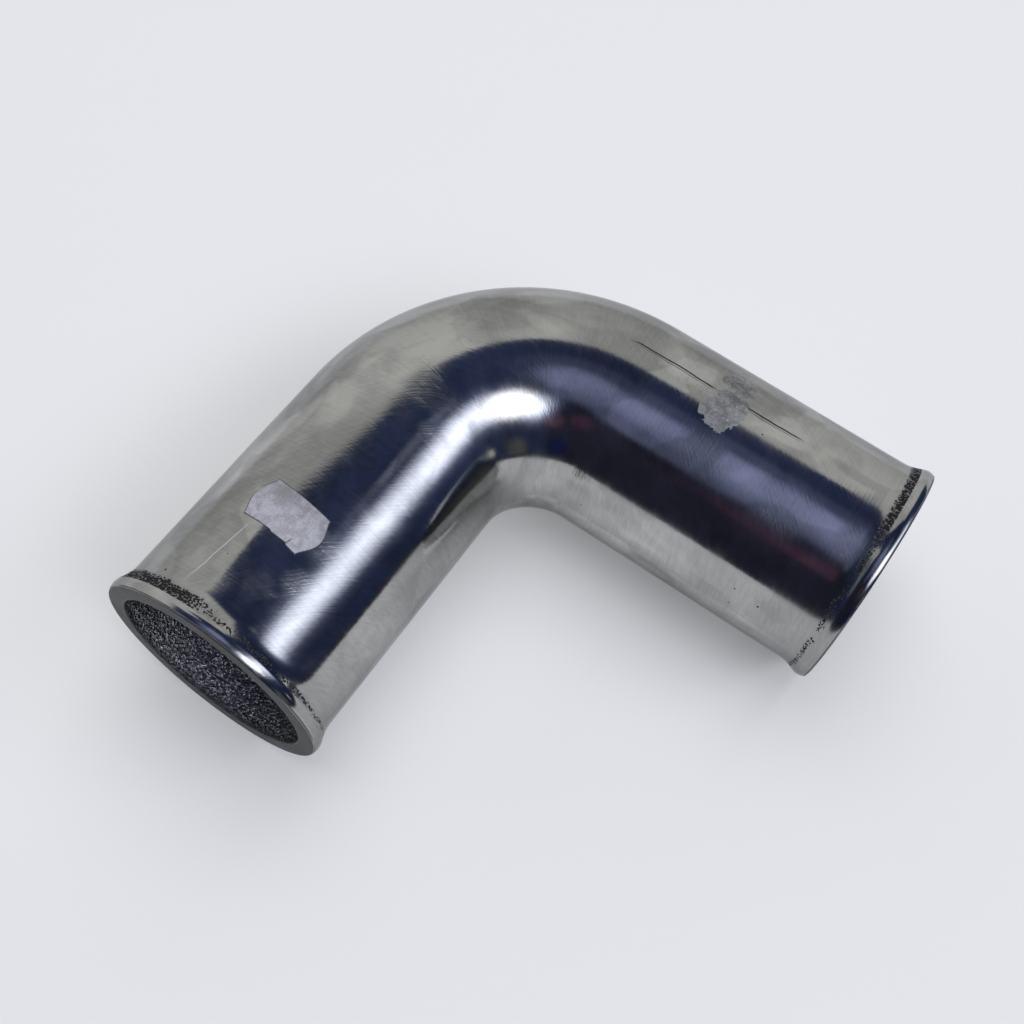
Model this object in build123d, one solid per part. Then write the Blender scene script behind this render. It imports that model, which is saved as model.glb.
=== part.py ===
from build123d import *
import os
from math import acos, asin, cos, degrees, radians, sin, sqrt

# Cast aluminium elbow of an intercooler pipe run: one casting with a level right-angle bend and
# two equal legs, each ending in a beaded mouth that a hose is clamped behind. A small paper
# price label is stuck on one leg. Millimetres, +Z up. The elbow lies on its side, as it rests
# on a bench: leg A runs towards -Y and leg B towards +X. The origin is on the bench, under the
# middle of the elbow's outer box.

# Tube
tube_diameter = 63.5      # outside, for a 2 1/2 inch hose
wall = 4.0                # of the casting, all the way round
leg_length = 127.0        # from the crossing of the leg axes to each end face
bend_radius = 46.0        # of the centreline

# Bead at each mouth
bead_height = 1.6         # crest above the tube
crest_inset = 1.75        # from the end face to the crest
crown_radius = 4.0        # round of the crest
bead_run = 7.2            # from the crest to where the hollow neck has run out into the tube

# Paper label on leg A
label_length = 22.0       # round the tube, over the bulging ends
label_width = 12.0        # along the tube
label_thickness = 0.1
label_bulge = 2.3         # of a short end's middle past its corners
label_crown = 6.4         # width of the round middle part of a short end
label_shoulder = 0.9      # of the ends of that round part past the corners
label_hollow = 0.15       # sag of the edge between a corner and the round part
label_distance = 91.3     # from the crossing of the leg axes to the label's middle
label_turn = 2.3          # degrees from the top of the tube, towards the outside of the bend
label_skew = 6.6          # degrees that it was stuck on crooked

# Worked out from these
right_angle = 90
tube_radius = tube_diameter / 2
bore_radius = tube_radius - wall
crest_radius = tube_radius + bead_height
crossing_offset = (leg_length - crest_radius) / 2
crossing = Pos(-crossing_offset, crossing_offset, crest_radius)


def leg():
    """One leg along +X from the crossing, with its beaded mouth, turned about its own axis."""
    radii_sum = (bead_run**2 + bead_height**2) / (2 * bead_height)
    neck_radius = radii_sum - crown_radius
    lean = degrees(asin(bead_run / radii_sum))
    crown_centre = (leg_length - crest_inset, crest_radius - crown_radius)
    neck_centre = (leg_length - crest_inset - bead_run, tube_radius + neck_radius)
    face_angle = degrees(acos(crest_inset / crown_radius))
    face_edge = crown_centre[1] + sqrt(crown_radius**2 - crest_inset**2)

    with BuildSketch() as half_section:
        with BuildLine():
            Line((neck_centre[0], tube_radius), (bend_radius, tube_radius))
            Line((bend_radius, tube_radius), (bend_radius, bore_radius))
            Line((bend_radius, bore_radius), (leg_length, bore_radius))
            Line((leg_length, bore_radius), (leg_length, face_edge))
            CenterArc(crown_centre, crown_radius, face_angle, right_angle + lean - face_angle)
            CenterArc(neck_centre, neck_radius, -right_angle, lean)
        make_face()
    return revolve(half_section.sketch, axis=Axis.X)


def bend():
    """The quarter turn that joins the two legs."""
    section = Plane.YZ.offset(bend_radius) * (Circle(tube_radius) - Circle(bore_radius))
    turning_axis = Axis((bend_radius, -bend_radius, 0), (0, 0, 1))
    return revolve(section, axis=turning_axis, revolution_arc=right_angle)


def elbow_pipe():
    """The whole casting, where it rests."""
    leg_b = leg()
    leg_a = Rot(0, 0, -right_angle) * leg_b
    return crossing * (leg_b + bend() + leg_a)


def on_tube(round_tube, along_tube):
    """Where a point of the flat label lies, seen from above, once it is stuck round the tube."""
    skew = radians(label_skew)
    arc = round_tube * cos(skew) - along_tube * sin(skew)
    along = round_tube * sin(skew) + along_tube * cos(skew)
    return (tube_radius * sin(arc / tube_radius), -along)


def paper_label():
    """The label: a thin strip with bracket-shaped ends, bent to leg A."""
    half_width = label_width / 2
    half_crown = label_crown / 2
    corner = label_length / 2 - label_bulge
    shoulder = corner + label_shoulder
    hollow = corner + label_shoulder / 2 - label_hollow
    hollow_width = (half_width + half_crown) / 2

    with BuildSketch() as outline:
        with BuildLine():
            for end in (1, -1):
                first_corner = on_tube(end * corner, end * half_width)
                first_shoulder = on_tube(end * shoulder, end * half_crown)
                last_shoulder = on_tube(end * shoulder, -end * half_crown)
                last_corner = on_tube(end * corner, -end * half_width)
                ThreePointArc(first_corner, on_tube(end * hollow, end * hollow_width), first_shoulder)
                ThreePointArc(first_shoulder, on_tube(end * label_length / 2, 0), last_shoulder)
                ThreePointArc(last_shoulder, on_tube(end * hollow, -end * hollow_width), last_corner)
                Line(last_corner, on_tube(-end * corner, -end * half_width))
        make_face()

    sleeve_length = 2 * label_length
    sleeve = Cylinder(tube_radius + label_thickness, sleeve_length) - Cylinder(tube_radius, sleeve_length)
    strip = extrude(outline.sketch, tube_diameter) & (Rot(right_angle, 0, 0) * sleeve)
    return crossing * Pos(0, -label_distance, 0) * Rot(0, -label_turn, 0) * strip


os.makedirs("parts", exist_ok=True)
export_step(elbow_pipe(), "parts/elbow_pipe.step")
export_step(paper_label(), "parts/paper_label.step")
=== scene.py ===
from math import cos, degrees, pi, radians, sin

import bpy
from mathutils import Matrix, Vector


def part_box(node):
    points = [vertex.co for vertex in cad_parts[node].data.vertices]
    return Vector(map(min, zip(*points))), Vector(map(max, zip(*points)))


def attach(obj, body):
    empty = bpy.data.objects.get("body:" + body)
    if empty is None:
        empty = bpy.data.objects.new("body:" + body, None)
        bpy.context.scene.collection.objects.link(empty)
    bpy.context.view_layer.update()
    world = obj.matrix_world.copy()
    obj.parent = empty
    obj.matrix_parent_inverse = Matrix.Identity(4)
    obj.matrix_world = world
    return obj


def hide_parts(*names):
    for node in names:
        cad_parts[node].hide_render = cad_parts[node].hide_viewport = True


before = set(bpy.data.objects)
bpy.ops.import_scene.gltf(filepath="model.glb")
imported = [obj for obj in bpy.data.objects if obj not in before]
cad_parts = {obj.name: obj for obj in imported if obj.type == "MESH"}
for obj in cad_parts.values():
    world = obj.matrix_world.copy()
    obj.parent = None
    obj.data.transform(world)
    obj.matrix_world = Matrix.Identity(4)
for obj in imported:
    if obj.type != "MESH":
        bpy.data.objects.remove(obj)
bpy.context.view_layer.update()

# The casting: an elbow of cast aluminium in one piece, with two equal legs. Each mouth has a raised
# bead that keeps the hose on. The outside is buffed by hand and the bore is left as it came out of
# the sand. It is drawn as a straight pipe, spun from the outline of its wall, and then bent.
millimetre = 0.001
elbow_low, elbow_high = (Vector(corner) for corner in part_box("elbow_pipe"))
bead_height = 1.6 * millimetre
wall_thickness = 4.0 * millimetre
bend_radius = 46.0 * millimetre
tube_radius = (elbow_high.z - elbow_low.z) / 2 - bead_height
bore_radius = tube_radius - wall_thickness
straight_length = elbow_high.x - elbow_low.x - tube_radius - bead_height - bend_radius
half_length = straight_length + bend_radius * pi / 4
bend_centre = Vector((elbow_high.x - straight_length, elbow_low.y + straight_length,
                      tube_radius + bead_height))
elbow_sizes = {
    "tube radius": tube_radius,
    "bore radius": bore_radius,
    "bend radius": bend_radius,
    "half length": half_length,
    "bead height": bead_height,
    "crest inset": 2.0 * millimetre,
    "crown radius": 3.6 * millimetre,
    "bead run": 7.2 * millimetre,
    "edge round": 0.5 * millimetre,
    "waviness": 0.10 * millimetre,
    "sand grain": 0.12 * millimetre,
    "steps round": 232,
    "steps along": 96,
    "steps in bore": 200,
    "steps over face": 7,
    "steps in edge": 5,
    "steps in crown": 14,
    "steps in neck": 12,
}

# The buffing's waves and the sand's grain, and how far from the end face each of them fades in
waves_a_metre = 26.0
wave_fade = (8.0 * millimetre, 20.0 * millimetre)
grains_a_metre = 520.0
grain_fade = (0.4 * millimetre, 2.0 * millimetre)


class Wire:
    """A node's output that takes part in Python sums: each operator adds a Math node to its tree."""

    def __init__(self, tree, output=None):
        self.tree = tree
        self.output = output

    def node(self, kind, settings=None, inputs=None, output=0):
        """Any node: its type, its settings, then the values or wires of its sockets."""
        made = self.tree.nodes.new(kind)
        for name, value in (settings or {}).items():
            setattr(made, name, value)
        for name, value in (inputs or {}).items():
            for each in value if isinstance(value, list) else [value]:
                if isinstance(each, Wire):
                    self.tree.links.new(each.output, made.inputs[name])
                else:
                    made.inputs[name].default_value = each
        return Wire(self.tree, made.outputs[output])

    def other(self, output):
        """Another output of the same node."""
        return Wire(self.tree, self.output.node.outputs[output])

    def maths(self, operation, *others):
        """A Math node on this value and the others."""
        return self.node("ShaderNodeMath", {"operation": operation}, dict(enumerate((self, *others))))

    def reflected(self, operation, first):
        """A Math node whose first value is a plain number."""
        return self.node("ShaderNodeMath", {"operation": operation}, {0: first, 1: self})

    def __add__(self, other):
        return self.maths("ADD", other)

    def __sub__(self, other):
        return self.maths("SUBTRACT", other)

    def __mul__(self, other):
        return self.maths("MULTIPLY", other)

    def __truediv__(self, other):
        return self.maths("DIVIDE", other)

    def __radd__(self, other):
        return self.reflected("ADD", other)

    def __rsub__(self, other):
        return self.reflected("SUBTRACT", other)

    def __rmul__(self, other):
        return self.reflected("MULTIPLY", other)

    def __rtruediv__(self, other):
        return self.reflected("DIVIDE", other)

    def __neg__(self):
        return self.maths("MULTIPLY", -1.0)

    def __abs__(self):
        return self.maths("ABSOLUTE")

    def smooth(self, low, high):
        """A soft step from 0 at low to 1 at high."""
        return self.node("ShaderNodeMapRange", {"interpolation_type": "SMOOTHSTEP"},
                         {"Value": self, "From Min": low, "From Max": high})

    def mix(self, below, above):
        """The colour below where this mask is 0 and the colour above where it is 1."""
        return self.node("ShaderNodeMix", {"data_type": "RGBA"}, {0: self, 6: below, 7: above}, output=2)


def new_rule(name, sizes):
    """An empty Geometry Nodes tree with one named input for each size."""
    tree = bpy.data.node_groups.new(name, "GeometryNodeTree")
    tree.interface.new_socket("Geometry", in_out="OUTPUT", socket_type="NodeSocketGeometry")
    for size_name, value in sizes.items():
        kind = "NodeSocketInt" if isinstance(value, int) else "NodeSocketFloat"
        tree.interface.new_socket(size_name, in_out="INPUT", socket_type=kind).default_value = value
    group_input = tree.nodes.new("NodeGroupInput")
    return Wire(tree), {size_name: Wire(tree, group_input.outputs[size_name]) for size_name in sizes}


def end_rule(geometry, material):
    """Ends a tree: whatever it made is real mesh and has its material."""
    real = geometry.node("GeometryNodeRealizeInstances", {}, {"Geometry": geometry})
    done = geometry.node("GeometryNodeSetMaterial", {}, {"Geometry": real, "Material": material})
    geometry.tree.links.new(done.output, geometry.tree.nodes.new("NodeGroupOutput").inputs[0])


def made_by_rule(name, tree, sizes):
    """Runs a Geometry Nodes tree and keeps what it makes as a plain mesh object."""
    holder = bpy.data.objects.new(name + "_rule", bpy.data.meshes.new(name + "_rule"))
    bpy.context.collection.objects.link(holder)
    rule = holder.modifiers.new("rule", "NODES")
    rule.node_group = tree
    for item in tree.interface.items_tree:
        if item.in_out == "INPUT":
            rule[item.identifier] = sizes[item.name]
    evaluated = holder.evaluated_get(bpy.context.evaluated_depsgraph_get())
    piece = bpy.data.objects.new(name, bpy.data.meshes.new_from_object(evaluated))
    piece.data.name = name
    holder.modifiers.remove(rule)
    bpy.data.objects.remove(holder)
    bpy.context.collection.objects.link(piece)
    return piece


def vector(wire, x, y, z=0.0):
    """A vector from three values or wires."""
    return wire.node("ShaderNodeCombineXYZ", {}, {"X": x, "Y": y, "Z": z})


def parts_of(place):
    """The three values of a vector, each as a wire."""
    first = place.node("ShaderNodeSeparateXYZ", {}, {"Vector": place})
    return first, first.other("Y"), first.other("Z")


def bend_round(wire, radius, along, outward, upward):
    """Where a point of the straight pipe goes when the pipe is bent through a right angle."""
    limit = radius * (pi / 4)
    turned = along.maths("MAXIMUM", -limit).maths("MINIMUM", limit)
    beyond = along - turned
    bearing = 3 * pi / 4 - turned / radius
    reach = radius + outward
    east, north = bearing.maths("COSINE"), bearing.maths("SINE")
    return vector(wire, bend_centre.x + reach * east + beyond * north,
                  bend_centre.y + reach * north - beyond * east, bend_centre.z + upward)


def elbow_rule(material):
    """Draws the outline of the wall as arcs and lines, spins it into a straight pipe and bends that."""
    wire, size = new_rule("elbow_rule", elbow_sizes)
    run, rise, edge = size["bead run"], size["bead height"], size["edge round"]
    tube, bore, half = size["tube radius"], size["bore radius"], size["half length"]
    crown, inset = size["crown radius"], size["crest inset"]
    radii_sum = (run * run + rise * rise) / (2.0 * rise)
    neck = radii_sum - crown
    lean = (run / radii_sum).maths("ARCSINE")
    crown_x = half - inset
    crown_y = tube + rise - crown
    edge_angle = ((inset - edge) / (crown - edge)).maths("ARCCOSINE")
    edge_y = crown_y + (crown - edge) * edge_angle.maths("SINE")

    def line(start, end, steps):
        drawn = wire.node("GeometryNodeCurvePrimitiveLine", {}, {"Start": start, "End": end})
        return wire.node("GeometryNodeResampleCurve", {}, {"Curve": drawn, "Count": steps})

    def arc(centre, radius, start, sweep, steps):
        drawn = wire.node("GeometryNodeCurveArc", {"mode": "RADIUS"}, {
            "Resolution": steps, "Radius": radius, "Start Angle": start, "Sweep Angle": sweep})
        return wire.node("GeometryNodeTransform", {}, {"Geometry": drawn, "Translation": centre})

    # From the middle of the bore, out over the end face and the bead, and back along the tube
    right_half = [
        line(vector(wire, 0.0, bore), vector(wire, half - edge, bore), size["steps in bore"] / 2.0),
        arc(vector(wire, half - edge, bore + edge), edge, -pi / 2, pi / 2, size["steps in edge"]),
        line(vector(wire, half, bore + edge), vector(wire, half, edge_y), size["steps over face"]),
        arc(vector(wire, half - edge, edge_y), edge, 0.0, edge_angle, size["steps in edge"]),
        arc(vector(wire, crown_x, crown_y), crown,
            edge_angle, pi / 2 + lean - edge_angle, size["steps in crown"]),
        arc(vector(wire, crown_x - run, tube + neck), neck, lean - pi / 2, -lean, size["steps in neck"]),
        line(vector(wire, crown_x - run, tube), vector(wire, 0.0, tube), size["steps along"] / 2.0),
    ]
    left_half = []
    for part in reversed(right_half):
        mirrored = wire.node("GeometryNodeTransform", {}, {"Geometry": part, "Scale": (-1.0, 1.0, 1.0)})
        left_half.append(wire.node("GeometryNodeReverseCurve", {}, {"Curve": mirrored}))
    outline = wire.node("GeometryNodeJoinGeometry", {}, {"Geometry": (right_half + left_half)[::-1]})

    # A flat grid, with one column for each point of the outline and one row for each step round
    points = wire.node("GeometryNodeAttributeDomainSize", {"component": "CURVE"}, {"Geometry": outline})
    grid = wire.node("GeometryNodeMeshGrid", {}, {
        "Size X": points - 1.0, "Size Y": 2 * pi,
        "Vertices X": points, "Vertices Y": size["steps round"] + 1.0})
    place = wire.node("GeometryNodeInputPosition")
    column, angle, _ = parts_of(place)
    outline_point = (column + (points - 1.0) / 2.0).maths("ROUND")
    on_outline = wire.node("GeometryNodeSampleIndex", {"data_type": "FLOAT_VECTOR"}, {
        "Geometry": outline, "Value": place, "Index": outline_point})
    along, radius, _ = parts_of(on_outline)
    cosine, sine = angle.maths("COSINE"), angle.maths("SINE")
    straight = vector(wire, along, radius * cosine, radius * sine)

    # Buffed by hand, the outside is slightly wavy up to the bead. The bore has the grain of the sand.
    from_face = half - abs(along)
    outside = radius.smooth(bore + 1.0 * millimetre, tube - 1.0 * millimetre)
    hand = wire.node("ShaderNodeTexNoise", {}, {"Vector": straight, "Scale": waves_a_metre, "Detail": 1.5})
    sand = wire.node("ShaderNodeTexNoise", {}, {"Vector": straight, "Scale": grains_a_metre, "Detail": 2.0})
    uneven = (2.0 * hand - 1.0) * size["waviness"] * outside * from_face.smooth(*wave_fade)
    grainy = (2.0 * sand - 1.0) * size["sand grain"] * (1.0 - outside) * from_face.smooth(*grain_fade)
    skin = radius + uneven + grainy
    shaped = wire.node("GeometryNodeStoreNamedAttribute",
                       {"data_type": "FLOAT_VECTOR", "domain": "POINT"},
                       {"Geometry": grid, "Name": "straight_pipe", "Value": straight})
    bent = bend_round(wire, size["bend radius"], along, skin * cosine, skin * sine)
    shaped = wire.node("GeometryNodeSetPosition", {}, {"Geometry": shaped, "Position": bent})
    shaped = wire.node("GeometryNodeMergeByDistance", {}, {
        "Geometry": shaped, "Distance": 0.01 * millimetre})
    shaped = wire.node("GeometryNodeSetShadeSmooth", {}, {"Geometry": shaped})
    end_rule(shaped, material)
    return wire.tree


def new_material(name):
    """An empty material. Returns it with the wire of its tree and its shader's input sockets."""
    material = bpy.data.materials.new(name)
    material.use_nodes = True
    return material, Wire(material.node_tree), material.node_tree.nodes["Principled BSDF"].inputs


def feed(inputs, **wires):
    """Links wires to the shader, or sets its sockets. An underscore stands for a space."""
    for name, value in wires.items():
        socket = inputs[name.replace("_", " ")]
        if isinstance(value, Wire):
            value.tree.links.new(value.output, socket)
        else:
            socket.default_value = value


def noise(wire, place, feature, turn=0.0, **inputs):
    """A noise texture. A feature is its grain's size in millimetres along, outward and upward."""
    moved = wire.node("ShaderNodeMapping", {"vector_type": "TEXTURE"}, {
        "Vector": place, "Rotation": (0.0, 0.0, radians(turn)), "Scale": feature})
    return wire.node("ShaderNodeTexNoise", {}, {"Vector": moved, "Scale": 1.0, **inputs})


def distance_from(place, point):
    """How far a place is from a point, both in millimetres."""
    return place.node("ShaderNodeVectorMath", {"operation": "DISTANCE"}, {0: place, 1: point},
                      output="Value")


def strongest(masks):
    """The highest of several masks at each place."""
    highest = masks[0]
    for mask in masks[1:]:
        highest = highest.maths("MAXIMUM", mask)
    return highest


def skin_place(along, degrees_round):
    """A point of the tube's skin on the straight pipe, in millimetres: 90 degrees is the top."""
    radius = tube_radius / millimetre
    return (along, radius * cos(radians(degrees_round)), radius * sin(radians(degrees_round)))


bright_buffed = (0.580, 0.580, 0.568, 1.0)
dull_buffed = (0.315, 0.316, 0.308, 1.0)
unbuffed_skin = (0.200, 0.200, 0.198, 1.0)
sawn_bright = (0.165, 0.165, 0.162, 1.0)
sawn_dull = (0.085, 0.085, 0.086, 1.0)
bore_lip = (0.110, 0.110, 0.113, 1.0)
bore_skin = (0.170, 0.173, 0.190, 1.0)
bore_glint = (0.700, 0.700, 0.715, 1.0)
casting_black_and_shade = (0.022, 0.022, 0.024, 1.0)
pale_scratch = (0.780, 0.780, 0.790, 1.0)

# Each pit, patch and scuff has its place along the straight pipe from the middle of the bend, where
# leg A is below 0, its angle round the pipe, and its radius. A deep scratch has where it starts and
# ends and its angle, fades over its taper, and has a fainter second line beside it. All in
# millimetres and degrees.
pits = [(-108.5, 57.9, 0.42), (96.0, 165.2, 0.42), (88.4, 163.2, 0.3), (89.0, 174.8, 0.26),
        (73.0, 88.8, 0.3), (-97.8, 78.8, 0.22), (-104.0, 88.3, 0.3), (41.0, 172.0, 0.25),
        (-62.0, 30.0, 0.3), (20.0, -40.0, 0.35), (-80.0, -70.0, 0.3), (60.0, 20.0, 0.28)]
bright_patches = [(-32.0, 71.0, 13.0), (-98.0, 84.0, 5.0), (50.0, 74.0, 8.0), (66.0, 170.0, 7.0)]
scuffs = [(-83.0, 106.0, 7.0), (-94.0, 109.0, 5.0), (-40.6, 110.9, 3.5), (-100.0, 99.0, 6.0),
          (-30.0, 100.0, 9.0), (62.0, 112.0, 10.0), (88.0, 116.0, 12.0), (108.0, 114.0, 8.0)]
deep_scratches = [(27.0, 60.0, 79.2), (58.0, 86.0, 79.4)]
scratch_taper = 12.0
second_line = 0.8
pale_start, pale_end = -110.0, -87.0
pale_angle, pale_climb = 70.6, 0.28
millimetres_a_degree = radians(tube_radius / millimetre)

# The rims, in millimetres from the end face and degrees round. Leg B's differs by the second values.
rim_start, rim_start_b = 2.9, 0.9
rim_stop = 5.4
rim_angle, rim_angle_b = 55.0, 12.0
chain_middle, chain_middle_b = 4.3, 0.7
corner_inset = 0.42
bore_edge = 28.0


def buffed_cast_aluminium():
    """Cloudy hand-buffed skin with painted shade, black sand-cast rims behind the beads, sawn faces and a
    rough bore with painted glints.
    """
    material, wire, shader = new_material("buffed_cast_aluminium")
    stored = wire.node("ShaderNodeAttribute", {"attribute_name": "straight_pipe"}, output="Vector")
    place = wire.node("ShaderNodeVectorMath", {"operation": "SCALE"},
                      {"Vector": stored, "Scale": 1 / millimetre})
    along, outward, upward = parts_of(place)
    radius = (outward * outward + upward * upward).maths("SQRT")
    angle = upward.maths("ARCTAN2", outward) * degrees(1)
    from_face = half_length / millimetre - abs(along)

    cloud = noise(wire, place, (22.0, 17.0, 17.0), Detail=3.0, Roughness=0.55, Distortion=0.4)
    lobe = noise(wire, place, (24.0, 17.0, 17.0), 20.0, Detail=2.0, Roughness=0.4, Distortion=0.5)
    wipe = noise(wire, place, (6.0, 6.0, 6.0), Detail=4.0, Roughness=0.6, Distortion=0.5)
    ring_streak = noise(wire, place, (0.55, 11.0, 11.0), Detail=2.0, Roughness=0.6)
    slant_streak = noise(wire, place, (0.5, 7.0, 7.0), 48.0, Detail=2.0, Roughness=0.6)
    streak = ring_streak * 0.5 + slant_streak * 0.5
    grain = noise(wire, place, (0.80, 0.80, 0.80), Detail=2.0, Roughness=0.6)
    speck = noise(wire, place, (0.65, 0.65, 0.65), Detail=1.5, Roughness=0.6)
    wander = noise(wire, place, (8.0, 8.0, 8.0), Detail=2.0)

    # The end face is sawn flat, and the rough skin of the bore ends on it at a scalloped line
    scalloped = bore_edge + wipe.smooth(0.45, 0.7) * 0.7
    bore = 1.0 - radius.smooth(scalloped, scalloped + 0.25)
    outside = 1.0 - bore
    face = (1.0 - from_face.smooth(0.05, 0.3)) * outside

    # The rim behind each bead that the buffing wheel did not reach. It is wide on the outside of the
    # bend. Elsewhere it is a broken chain of pits.
    end_b = along.smooth(-1.0, 1.0)
    off_middle = abs(angle - rim_angle - end_b * rim_angle_b - (wander - 0.5) * 16.0)
    rim_end = rim_stop + (wipe - 0.5) * 2.6
    rim = (from_face - rim_start - end_b * rim_start_b).smooth(0.0, 0.3)
    rim = rim * (rim_end + 1.6 - from_face).smooth(0.0, 1.6)
    rim = rim * (1.0 - off_middle.smooth(22.0, 42.0)) * outside
    off_chain = abs(from_face - chain_middle - end_b * chain_middle_b - (wander - 0.5) * 2.2)
    chain = (1.0 - off_chain.smooth(0.25, 0.95)) * wander.smooth(0.30, 0.44) * outside
    # A broken dark line of painted shade along the corner between the end face and the bead
    corner_line = (1.0 - abs(from_face - corner_inset).smooth(0.06, 0.2)) * outside
    corner_line = corner_line * wander.smooth(0.36, 0.5)
    black_marks_and_shade = [
        (speck + rim * 0.17).smooth(0.55, 0.61) * rim.smooth(0.0, 0.3),
        (speck + chain * 0.10).smooth(0.575, 0.625) * chain.smooth(0.0, 0.3),
        corner_line * 0.8,
    ]
    for pit_along, pit_angle, pit_radius in pits:
        away = distance_from(place, skin_place(pit_along, pit_angle))
        black_marks_and_shade.append(1.0 - away.smooth(pit_radius * 0.5, pit_radius))
    for start, end, scratch_angle in deep_scratches:
        aside = (angle - scratch_angle - (wander - 0.5) * 2.0) * millimetres_a_degree
        tapered = along.smooth(start, start + scratch_taper)
        tapered = tapered * (1.0 - along.smooth(end - scratch_taper, end)) * outside
        black_marks_and_shade.append((1.0 - abs(aside).smooth(0.12, 0.42)) * tapered.smooth(0.0, 0.5))
        black_marks_and_shade.append((1.0 - abs(aside - second_line).smooth(0.08, 0.32)) * tapered * 0.6)
    dark = strongest(black_marks_and_shade)

    # One pale scratch between the label and mouth A, which climbs towards the bend
    beside = (angle - pale_angle - (along - pale_start) * pale_climb) * millimetres_a_degree
    pale = 1.0 - abs(beside + (wander - 0.5) * 1.2).smooth(0.06, 0.30)
    pale = pale * along.smooth(pale_start, pale_start + 6.0) * outside * 0.7
    pale = pale * (1.0 - along.smooth(pale_end - 5.0, pale_end))

    # Clouds and scuffs left by the wheel, and painted shade: the skin is darker near the mouths, below
    # the top of the tube, and along the inner side of the bend.
    scuff_masks = []
    for scuff_along, scuff_angle, scuff_radius in scuffs:
        away = distance_from(place, skin_place(scuff_along, scuff_angle)) + (wipe - 0.5) * 8.0
        scuff_masks.append(1.0 - away.smooth(scuff_radius * 0.3, scuff_radius))
    scuff = strongest(scuff_masks)
    clouded = cloud.smooth(0.36, 0.64) * 0.55 + lobe.smooth(0.48, 0.54) * 0.33
    clouded = clouded + wipe.smooth(0.3, 0.7) * 0.12
    squeezed = wire.node("ShaderNodeVectorMath", {"operation": "MULTIPLY"},
                         {0: place, 1: (0.5, 1.0, 1.0)})
    for patch_along, patch_angle, patch_radius in bright_patches:
        away = distance_from(squeezed, skin_place(patch_along / 2, patch_angle)) + (wipe - 0.5) * 9.0
        clouded = clouded + (1.0 - away.smooth(patch_radius * 0.55, patch_radius)) * 0.30
    low_mouth_shade = (1.0 - from_face.smooth(5.0, 26.0)) * upward.smooth(34.0, 22.0)
    clouded = clouded * (1.0 - low_mouth_shade * 0.65)
    clouded = clouded * (1.0 - abs(angle - 166.0).smooth(34.0, 14.0) * 0.45)

    # Painted glints on the bore's grain: strongest near the mouth and low on the outer side, fading deeper
    # in, where the bore lies in shade
    painted_bore_glints = grain.smooth(0.42, 0.68) * (1.0 - from_face.smooth(8.0, 45.0) * 0.85)
    painted_bore_glints = painted_bore_glints * (1.0 - abs(angle + 50.0).smooth(45.0, 115.0) * 0.7)
    sawn = (streak + wipe - 0.5).mix(sawn_dull, sawn_bright)
    sand_cast = from_face.smooth(0.3, 2.5).mix(bore_lip, painted_bore_glints.mix(bore_skin, bore_glint))
    colour = (clouded + (streak - 0.5) * 0.9).mix(dull_buffed, bright_buffed)
    colour = pale.mix(colour, pale_scratch)
    colour = face.mix(colour, sawn)
    colour = (rim * 0.75).mix(colour, unbuffed_skin)
    colour = bore.mix(colour, sand_cast)
    colour = dark.mix(colour, casting_black_and_shade)

    roughness = 0.085 + lobe.smooth(0.53, 0.49) * 0.035 + cloud.smooth(0.3, 0.7) * 0.05
    roughness = roughness + (streak - 0.5) * 0.14
    roughness = roughness + scuff * 0.10 + face * 0.30 + bore * 0.10 + rim * 0.20 + dark * 0.45
    height = (streak - 0.5) * (0.018 + scuff * 0.08) + (wipe - 0.5) * 0.018
    height = height * outside * (1.0 - rim * 0.5) + (grain - 0.5) * (bore * 0.85 + rim * 0.10)
    bump = wire.node("ShaderNodeBump", {}, {
        "Strength": 1.0, "Distance": millimetre, "Height": height})
    feed(shader, Base_Color=colour, Metallic=1.0 - dark * 0.6, Roughness=roughness, Normal=bump,
         Specular_Tint=(0.6, 0.6, 0.6, 1.0), Specular_IOR_Level=0.2)
    return material


casting = made_by_rule("casting", elbow_rule(buffed_cast_aluminium()), elbow_sizes)
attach(casting, "root")
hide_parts("elbow_pipe")

# The price label: a strip of white paper with bracket-shaped ends, stuck round leg A a little
# crooked. A thin dark rim shows round its edge, and one long side is torn and creased.
label_half_width = 6.0
label_corner = 8.7
label_bulge = 2.3
label_thickness = 0.1
label_distance = 91.3
label_angle = 90.0 - 2.3
label_skew = radians(6.6)
label_columns = 56
label_rows = 36
glue_width = 0.22
glue_low = -0.02
glue_high = 0.03
corner_reach = 9.0
corner_lift = 0.10
crease_round = 5.2
crease_slant = 0.12
crease_start = 3.6
crease_lift = 0.12
torn_stops = [(-8.7, 0.0), (-0.4, 0.55), (0.7, 0.22), (5.0, 0.5), (5.5, 0.12), (8.7, 0.0)]


def label_end(across):
    """How far the bracket-shaped end reaches from the label's middle, at a place across it."""
    return label_corner + label_bulge * (1.0 - (across / label_half_width) ** 2) ** 1.6


def torn_edge(round_tube):
    """How far the long side towards the mouth is worn back, at a place round the tube."""
    for (start, first), (end, last) in zip(torn_stops, torn_stops[1:]):
        if round_tube <= end:
            return first + (last - first) * max(0.0, round_tube - start) / (end - start)
    return 0.0


def beside_crease(round_tube, across):
    """How far a place on the label is from its slanting crease. Takes numbers or wires."""
    return round_tube - crease_round - (label_half_width - across) * crease_slant


def label_place(round_tube, along_tube, lift):
    """A point of the flat label, once it is stuck on: lift is its height off the tube."""
    arc = round_tube * cos(label_skew) - along_tube * sin(label_skew)
    along = round_tube * sin(label_skew) + along_tube * cos(label_skew)
    turned = radians(label_angle) + arc * millimetre / tube_radius
    radius = tube_radius + lift * millimetre
    return Vector((bend_centre.x - bend_radius - radius * cos(turned),
                   bend_centre.y + bend_radius - (label_distance + along) * millimetre,
                   bend_centre.z + radius * sin(turned)))


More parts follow.
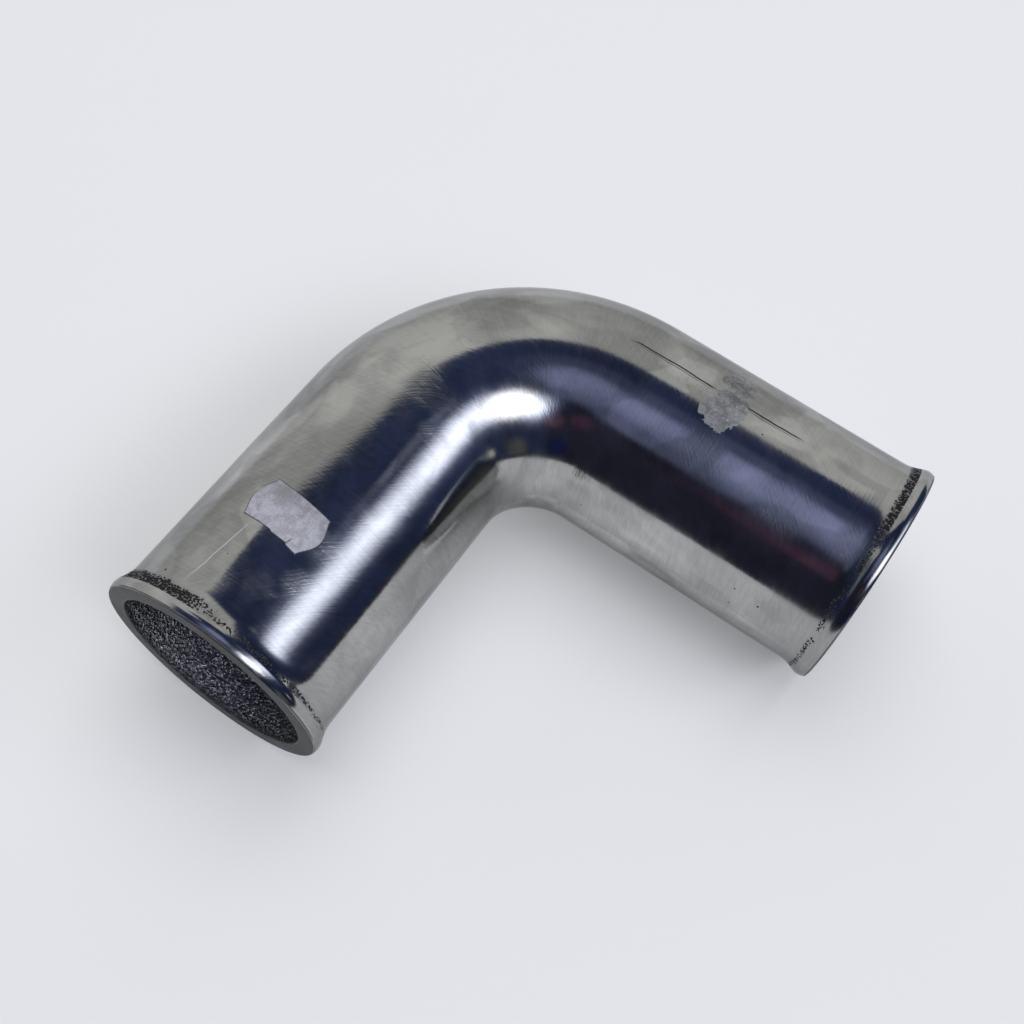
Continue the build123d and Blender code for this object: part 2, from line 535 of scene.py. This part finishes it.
def label_layer(vertices, faces, marks, low, high, margin):
    """Adds one closed layer of the label, from low to high off the tube and margin wider all round."""
    first = len(vertices)
    for lift in (low, high):
        for i in range(label_columns + 1):
            for j in range(label_rows + 1):
                across = (2.0 * j / label_rows - 1.0) * label_half_width
                round_tube = (2.0 * i / label_columns - 1.0) * (label_end(across) + margin)
                if across > 0:
                    across *= 1.0 - torn_edge(round_tube) / label_half_width
                across *= 1.0 + margin / label_half_width
                corner = (abs(round_tube) / corner_reach) ** 6 * (abs(across) / label_half_width) ** 6
                crease = max(0.0, 1.0 - abs(beside_crease(round_tube, across)) / 0.5)
                crease *= max(0.0, across - crease_start) / (label_half_width - crease_start)
                loose = corner_lift * min(1.0, corner) + crease_lift * crease
                if lift != high or margin > 0:
                    loose = 0.0
                vertices.append(label_place(round_tube, across, lift + loose))
                marks.append((round_tube, across, 1.0 if margin else 0.0))

    def index(layer, i, j):
        return first + (layer * (label_columns + 1) + i) * (label_rows + 1) + j

    last_i, last_j = label_columns, label_rows
    for i in range(label_columns):
        for j in range(label_rows):
            faces.append([index(1, i, j), index(1, i, j + 1), index(1, i + 1, j + 1), index(1, i + 1, j)])
            faces.append([index(0, i, j), index(0, i + 1, j), index(0, i + 1, j + 1), index(0, i, j + 1)])
    for i in range(label_columns):
        faces.append([index(0, i + 1, 0), index(0, i, 0), index(1, i, 0), index(1, i + 1, 0)])
        faces.append([index(0, i, last_j), index(0, i + 1, last_j),
                      index(1, i + 1, last_j), index(1, i, last_j)])
    for j in range(label_rows):
        faces.append([index(0, 0, j), index(0, 0, j + 1), index(1, 0, j + 1), index(1, 0, j)])
        faces.append([index(0, last_i, j + 1), index(0, last_i, j),
                      index(1, last_i, j), index(1, last_i, j + 1)])


soiled_and_shaded_paper = (0.160, 0.160, 0.176, 1.0)
clean_paper = (0.490, 0.483, 0.530, 1.0)
smudge_grey = (0.200, 0.205, 0.195, 1.0)
crease_shade_grey = (0.090, 0.090, 0.110, 1.0)
dark_rim_grey = (0.060, 0.060, 0.063, 1.0)
smudge_middle = (-4.8, -4.6, 0.0)


def label_paper():
    """Soiled matt paper: fibres, a grey smudge by one corner, painted shade in the crease and towards one
    side, and a dark rim.
    """
    material, wire, shader = new_material("label_paper")
    place = wire.node("ShaderNodeAttribute", {"attribute_name": "label_place"}, output="Vector")
    round_tube, across, dark_rim = parts_of(place)
    flat = vector(wire, round_tube, across)
    fibre = noise(wire, flat, (0.55, 0.28, 1.0), 20.0, Detail=4.0, Roughness=0.7)
    stain = noise(wire, flat, (2.6, 2.6, 1.0), Detail=3.0, Distortion=0.7)
    smudge = (1.0 - distance_from(flat, smudge_middle).smooth(0.8, 4.6)) * stain.smooth(0.25, 0.5)
    # Painted shade in the crease
    crease = 1.0 - abs(beside_crease(round_tube, across)).smooth(0.08, 0.34)
    crease = crease * across.smooth(3.0, 4.6)
    shade = fibre.smooth(0.3, 0.7) * 0.45 + stain.smooth(0.35, 0.65) * 0.30
    # Painted shade: the paper darkens towards the long side nearer the bend
    shade = shade + across.smooth(-6.5, 3.0) * 0.25
    colour = shade.mix(soiled_and_shaded_paper, clean_paper)
    colour = (smudge * 0.75).mix(colour, smudge_grey)
    colour = (crease * 0.85).mix(colour, crease_shade_grey)
    # A dark rim round the label's edge
    colour = dark_rim.mix(colour, dark_rim_grey)
    bump = wire.node("ShaderNodeBump", {}, {
        "Strength": 1.0, "Distance": millimetre, "Height": fibre * 0.03})
    feed(shader, Base_Color=colour, Roughness=0.74 + fibre * 0.14, Normal=bump, Specular_IOR_Level=0.25)
    return material


vertices, faces, marks = [], [], []
label_layer(vertices, faces, marks, glue_low, glue_high, glue_width)
label_layer(vertices, faces, marks, glue_high, glue_high + label_thickness, 0.0)
label_mesh = bpy.data.meshes.new("price_label")
label_mesh.from_pydata(vertices, [], faces)
label_mesh.attributes.new("label_place", "FLOAT_VECTOR", "POINT").data.foreach_set(
    "vector", [number for mark in marks for number in mark])
label_mesh.materials.append(label_paper())
price_label = bpy.data.objects.new("price_label", label_mesh)
bpy.context.collection.objects.link(price_label)
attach(price_label, "root")
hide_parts("paper_label")

# What is left of an older sticker on leg B: a film of glue and torn paper, thin and ragged, with
# pale fibres in it near the top of the tube. The buffed metal shows round it.
residue_sizes = {
    "bend radius": bend_radius,
    "from": 50.0 * millimetre,
    "to": 72.0 * millimetre,
    "first angle": radians(54.0),
    "last angle": radians(106.0),
    "thickness": 0.05 * millimetre,
    "ragged": 1.0,
    "steps along": 110,
    "steps round": 140,
}

# How far the film's underside lies in the tube's skin
film_seat = 0.01 * millimetre

# Two scraps that run together. Each has its middle along the leg and its angle round it, half its
# size along and round, and its tilt.
scraps = [(60.6, 67.5, 5.4, 3.9, 0.35), (61.0, 87.0, 5.6, 7.2, 0.25)]


def residue_rule(material):
    """Lays a fine grid on the tube, tears it to a ragged outline and gives it a grainy thickness."""
    wire, size = new_rule("residue_rule", residue_sizes)
    grid = wire.node("GeometryNodeMeshGrid", {}, {
        "Size X": size["to"] - size["from"], "Size Y": size["last angle"] - size["first angle"],
        "Vertices X": size["steps along"], "Vertices Y": size["steps round"]})
    x, y, z = parts_of(wire.node("GeometryNodeInputPosition"))
    along = x + (size["to"] + size["from"]) / 2.0
    angle = y + (size["last angle"] + size["first angle"]) / 2.0
    cosine, sine = angle.maths("COSINE"), angle.maths("SINE")
    along_leg = along / millimetre
    round_leg = angle * (tube_radius / millimetre)
    flat = vector(wire, along_leg, round_leg)

    def scrap(middle_along, middle_angle, half_along, half_round, tilt):
        """Above 0 inside a scrap with rounded corners, and below 0 outside it."""
        aside = along_leg - middle_along
        above = (angle - radians(middle_angle)) * (tube_radius / millimetre)
        u = (aside * cos(tilt) + above * sin(tilt)) / half_along
        v = (above * cos(tilt) - aside * sin(tilt)) / half_round
        return 1.0 - (u * u * u * u + v * v * v * v)

    torn = wire.node("ShaderNodeTexNoise", {}, {
        "Vector": flat, "Scale": 0.55, "Detail": 5.0, "Roughness": 0.62, "Distortion": 0.4})
    cover = strongest([scrap(*numbers) for numbers in scraps]) + (torn - 0.5) * size["ragged"] * 2.6
    kept = wire.node("GeometryNodeDeleteGeometry", {"domain": "POINT"}, {
        "Geometry": grid, "Selection": cover.maths("LESS_THAN", 0.12)})

    # Points with no face, and points where two flaps meet only at a corner, are deleted, so that the
    # film can be closed
    for _ in range(4):
        edges = wire.node("GeometryNodeInputMeshVertexNeighbors", output="Vertex Count")
        pinched = (edges - edges.other("Face Count")).maths("GREATER_THAN", 1.5)
        loose = pinched.maths("MAXIMUM", edges.other("Face Count").maths("LESS_THAN", 0.5))
        kept = wire.node("GeometryNodeDeleteGeometry", {"domain": "POINT"}, {
            "Geometry": kept, "Selection": loose})
    lump = wire.node("ShaderNodeTexNoise", {}, {"Vector": flat, "Scale": 1.5, "Detail": 3.0})
    kept = wire.node("GeometryNodeStoreNamedAttribute",
                     {"data_type": "FLOAT_VECTOR", "domain": "POINT"},
                     {"Geometry": kept, "Name": "residue_place",
                      "Value": vector(wire, along_leg, round_leg, cover)})
    raised = wire.node("GeometryNodeExtrudeMesh", {"mode": "FACES"}, {
        "Mesh": kept, "Offset": (0.0, 0.0, 1.0), "Offset Scale": size["thickness"], "Individual": False})
    underside = wire.node("GeometryNodeFlipFaces", {}, {"Mesh": kept})
    closed = wire.node("GeometryNodeJoinGeometry", {}, {"Geometry": [raised, underside]})
    closed = wire.node("GeometryNodeMergeByDistance", {}, {
        "Geometry": closed, "Distance": 0.001 * millimetre})
    reach = tube_radius - film_seat + z * (0.4 + 1.4 * lump)
    laid = bend_round(wire, size["bend radius"], along, reach * cosine, reach * sine)
    laid = wire.node("GeometryNodeSetPosition", {}, {"Geometry": closed, "Position": laid})
    end_rule(wire.node("GeometryNodeFlipFaces", {}, {"Mesh": laid}), material)
    return wire.tree


old_glue = (0.120, 0.120, 0.120, 1.0)
thin_film = (0.470, 0.470, 0.472, 1.0)
paper_fibre = (0.680, 0.680, 0.700, 1.0)


def sticker_residue():
    """Grey film of old glue with paper fibres in it, duller than the metal but half showing it."""
    material, wire, shader = new_material("sticker_residue")
    place = wire.node("ShaderNodeAttribute", {"attribute_name": "residue_place"}, output="Vector")
    _, round_leg, cover = parts_of(place)
    flat = wire.node("ShaderNodeVectorMath", {"operation": "MULTIPLY"}, {0: place, 1: (1.0, 1.0, 0.0)})
    grain = noise(wire, flat, (0.6, 0.6, 1.0), Detail=4.0, Roughness=0.7)
    fleck = noise(wire, flat, (1.1, 1.1, 1.0), Detail=2.0)
    blotch = noise(wire, flat, (2.6, 2.6, 1.0), Detail=3.0, Distortion=0.6)
    upper = round_leg.smooth(43.0, 46.5)
    thin = 1.0 - cover.smooth(0.15, 0.95)
    shade = grain.smooth(0.36, 0.66) * 0.35 + blotch.smooth(0.38, 0.62) * 0.30
    shade = shade + upper * 0.25 + thin * 0.25
    colour = shade.mix(old_glue, thin_film)
    colour = (fleck.smooth(0.66, 0.72) * upper).mix(colour, paper_fibre)
    bump = wire.node("ShaderNodeBump", {}, {
        "Strength": 1.0, "Distance": 0.12 * millimetre, "Height": grain})
    feed(shader, Base_Color=colour, Metallic=0.75, Roughness=0.38 + grain * 0.1 - thin * 0.14,
         Normal=bump)
    return material


residue = made_by_rule("sticker_residue", residue_rule(sticker_residue()), residue_sizes)
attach(residue, "root")

# The camera: where the photograph was taken from, high in front of the bend and turned a little
# about its own line of sight. Its place and its lens come from the fit to the elbow's outline.
camera_azimuth = radians(23.853)
camera_elevation = radians(62.344)
camera_roll = radians(11.408)
camera_target = Vector((-0.010881, 0.004280, 0.03335))
camera_distance = 0.35176
camera_back = Vector((sin(camera_azimuth) * cos(camera_elevation),
                      -cos(camera_azimuth) * cos(camera_elevation), sin(camera_elevation)))
level_right = Vector((0, 0, 1)).cross(camera_back).normalized()
level_up = camera_back.cross(level_right)
camera_right = cos(camera_roll) * level_right + sin(camera_roll) * level_up
camera_up = cos(camera_roll) * level_up - sin(camera_roll) * level_right
camera_data = bpy.data.cameras.new("camera")
camera_data.lens = 44.652
camera_data.sensor_width = 36.0
camera_data.clip_start = 0.01
camera = bpy.data.objects.new("camera", camera_data)
camera_turn = Matrix((camera_right, camera_up, camera_back)).transposed().to_4x4()
camera.matrix_world = Matrix.Translation(camera_target + camera_back * camera_distance) @ camera_turn
bpy.context.collection.objects.link(camera)
bpy.context.scene.camera = camera

# The floor: a plain pale sheet. What the camera and the metal see of it is lifted a little towards
# white, while it still takes the elbow's shadow. Far out, the camera sees it run into the backdrop,
# and the metal sees it dark on the viewer's side and glowing grey, unlit, on the wall's side.
black = (0.0, 0.0, 0.0, 1.0)
floor_paint = (0.610, 0.612, 0.605, 1.0)
floor_lift = (0.190, 0.190, 0.190, 1.0)
backdrop_pale = (0.800, 0.805, 0.815, 1.0)
unlit_floor = (0.030, 0.030, 0.030, 1.0)
wall_side_floor = (0.500, 0.500, 0.492, 1.0)
room_side_floor = (0.045, 0.047, 0.060, 1.0)
wall_bearing = radians(128)
floor_half = 4
floor_mesh = bpy.data.meshes.new("floor")
floor_mesh.from_pydata([(-floor_half, -floor_half, 0), (floor_half, -floor_half, 0),
                        (floor_half, floor_half, 0), (-floor_half, floor_half, 0)], [], [(0, 1, 2, 3)])
floor = bpy.data.objects.new("floor", floor_mesh)
bpy.context.collection.objects.link(floor)
floor_material, wire, shader = new_material("pale_floor")
on_floor = wire.node("ShaderNodeTexCoord", output="Object")
far_out = wire.node("ShaderNodeVectorMath", {"operation": "LENGTH"}, {0: on_floor}, output="Value")
towards_wall = wire.node("ShaderNodeVectorMath", {"operation": "DOT_PRODUCT"},
                         {0: on_floor, 1: (cos(wall_bearing), sin(wall_bearing), 0.0)}, output="Value")
camera_ray = wire.node("ShaderNodeLightPath", output="Is Camera Ray")
mirrored_ray = camera_ray.other("Is Glossy Ray").maths("MAXIMUM", camera_ray.other("Is Transmission Ray"))
room_side = far_out.smooth(0.40, 0.62) * (1.0 - towards_wall.smooth(-0.05, 0.25)) * mirrored_ray
wall_side = far_out.smooth(0.20, 0.60) * towards_wall.smooth(-0.05, 0.25) * mirrored_ray
far_floor = far_out.smooth(0.25, 1.10) * camera_ray
lift = wall_side.mix(floor_lift, wall_side_floor)
lift = (camera_ray.maths("MAXIMUM", mirrored_ray) * (1.0 - room_side)).mix(black, lift)
lift = far_floor.mix(lift, backdrop_pale)
paint = room_side.mix(wall_side.mix(floor_paint, unlit_floor), room_side_floor)
paint = far_floor.mix(paint, black)
feed(shader, Base_Color=paint, Roughness=0.9, Specular_IOR_Level=0.0,
     Emission_Color=lift, Emission_Strength=1.0)
floor_mesh.materials.append(floor_material)

# The room that the metal mirrors: a dark blue ceiling, a grey wall behind the elbow, a long soft
# window to its right, and the dark side where the viewer stands. The camera sees a pale backdrop.
ceiling_blue = (0.026, 0.038, 0.092, 1.0)
viewer_dark = (0.023, 0.023, 0.043, 1.0)
wall_low, wall_high = (0.530, 0.530, 0.520, 1.0), (0.600, 0.600, 0.588, 1.0)
window_haze, window_white = (0.22, 0.25, 0.45, 1.0), (2.40, 2.52, 3.00, 1.0)
window_core = (3.700, 3.700, 3.800, 1.0)

# Soft round patches of the room. Each has its bearing and height, and the degrees from its middle
# where it starts to fade and where it has gone.
room_patches = [
    (-88, 24, 22, 46, viewer_dark),
    (-105, 80, 4, 26, (0.070, 0.080, 0.155, 1.0)),
    (110, 84, 2, 11, (0.075, 0.088, 0.170, 1.0)),
    (-128, 75, 2, 11, (0.140, 0.160, 0.275, 1.0)),
    (-90, 75, 3, 20, (0.210, 0.235, 0.400, 1.0)),
    (-76, 81, 1, 15, (0.310, 0.350, 0.580, 1.0)),
    (-106, 58, 3, 9, (0.130, 0.145, 0.245, 1.0)),
    (-85, 43, 3, 9, (0.085, 0.045, 0.075, 1.0)),
    (-58, 38, 4, 10, (0.100, 0.062, 0.090, 1.0)),
    (-68, 11, 7, 14, (0.013, 0.016, 0.070, 1.0)),
    (-22, 6, 5, 15, (0.120, 0.120, 0.118, 1.0)),
    (50, 57, 1, 5, (0.200, 0.215, 0.300, 1.0)),
    (8, 6, 0.5, 5, (0.700, 0.680, 0.620, 1.0)),
]

# The wall is three larger patches that run together
wall_caps = [(117, 13, 45, 47), (98, 12, 44.5, 46.5), (186, 8, 33, 40)]
world = bpy.data.worlds.new("room")
bpy.context.scene.world = world
world.use_nodes = True
world.node_tree.nodes.clear()
wire = Wire(world.node_tree)
direction = wire.node("ShaderNodeTexCoord", output="Generated")


def towards(bearing, height):
    """The unit vector of a direction in degrees."""
    turn, climb = radians(bearing), radians(height)
    return Vector((cos(turn) * cos(climb), sin(turn) * cos(climb), sin(climb)))


def nearness(line):
    """The cosine of the angle between the direction looked in and this one."""
    return direction.node("ShaderNodeVectorMath", {"operation": "DOT_PRODUCT"},
                          {0: direction, 1: line}, output="Value")


def glow(bearing, height, inner, outer):
    """1 within inner degrees of a direction, falling to 0 at outer degrees."""
    return nearness(towards(bearing, height)).smooth(cos(radians(outer)), cos(radians(inner)))


def strip(first, last, width, reach):
    """A band of light between two directions, soft across its width and at its ends, in degrees."""
    aside = abs(nearness(first.cross(last).normalized()))
    middle = nearness((first + last).normalized())
    return (1.0 - aside.smooth(0.0, sin(radians(width)))) * middle.smooth(
        cos(radians(reach)), cos(radians(reach * 0.7)))


room = ceiling_blue
for bearing, height, inner, outer, patch_colour in room_patches:
    room = glow(bearing, height, inner, outer).mix(room, patch_colour)
wall_end = nearness(towards(173, 0)).smooth(0.0, 0.04)
wall = strongest([glow(*cap) for cap in wall_caps]) * wall_end
climb_seen = nearness(Vector((0.0, 0.0, 1.0))).maths("ARCSINE") * degrees(1)
room = wall.mix(room, climb_seen.smooth(5.0, 50.0).mix(wall_low, wall_high))
window_start, window_stop = towards(27, 39), towards(-29, 49)
room = strip(window_start, window_stop, 27, 44).mix(room, window_haze)
room = strip(window_start, window_stop, 18, 38).mix(room, window_white)
room = glow(-15, 50, 3, 17).mix(room, window_core)
room = wire.node("ShaderNodeLightPath", output="Is Camera Ray").mix(room, backdrop_pale)
background = wire.node("ShaderNodeBackground", {}, {"Color": room, "Strength": 1.0})
surface = world.node_tree.nodes.new("ShaderNodeOutputWorld").inputs["Surface"]
world.node_tree.links.new(background.output, surface)

# The edge of a grey board beside the wall, close enough for the two ends of leg A to mirror it
# in different places. Only the metal sees it, and it glows its own grey, unlit.
board_glow_grey = (0.580, 0.580, 0.568, 1.0)
board_unlit = (0.030, 0.030, 0.030, 1.0)
board_corners = [(-0.183, -0.005, 0.535), (-0.304, 0.052, 0.484), (-0.358, 0.161, 0.412),
                 (-0.439, 0.325, 0.304), (-0.600, 0.300, 0.150), (-0.520, 0.060, 0.200),
                 (-0.420, -0.060, 0.300), (-0.300, -0.080, 0.480)]
board_faces = [(0, 1, 7), (1, 6, 7), (1, 5, 6), (1, 2, 5), (2, 4, 5), (2, 3, 4)]
board_mesh = bpy.data.meshes.new("board")
board_mesh.from_pydata(board_corners, [], board_faces)
board = bpy.data.objects.new("board", board_mesh)
bpy.context.collection.objects.link(board)
board_material, wire, shader = new_material("grey_board")
feed(shader, Base_Color=board_unlit, Roughness=0.9, Specular_IOR_Level=0.0,
     Emission_Color=board_glow_grey, Emission_Strength=1.0)
board_mesh.materials.append(board_material)
board.visible_camera = False
board.visible_diffuse = False
board.visible_shadow = False

# The lamps: two large soft boxes, one in the window's direction and one overhead. They light the
# floor and the paper, and the metal doesn't mirror them.


def lamp(name, bearing, height, distance, width, length, radiance, colour):
    """A soft box at a distance from the elbow, turned to face it."""
    line = towards(bearing, height)
    data = bpy.data.lights.new(name, "AREA")
    data.shape = "RECTANGLE"
    data.size = width
    data.size_y = length
    data.color = colour
    data.energy = radiance * pi * width * length
    light = bpy.data.objects.new(name, data)
    facing = line.to_track_quat("Z", "Y").to_matrix().to_4x4()
    light.matrix_world = Matrix.Translation(line * distance) @ facing
    light.visible_glossy = False
    bpy.context.collection.objects.link(light)


lamp("window", 2, 45, 1.5, 1.6, 0.42, 1.2, (0.93, 0.95, 1.0))
lamp("overhead", 120, 80, 2.0, 1.8, 1.8, 2.4, (1.0, 1.0, 1.0))

bpy.context.scene.view_settings.view_transform = "Standard"
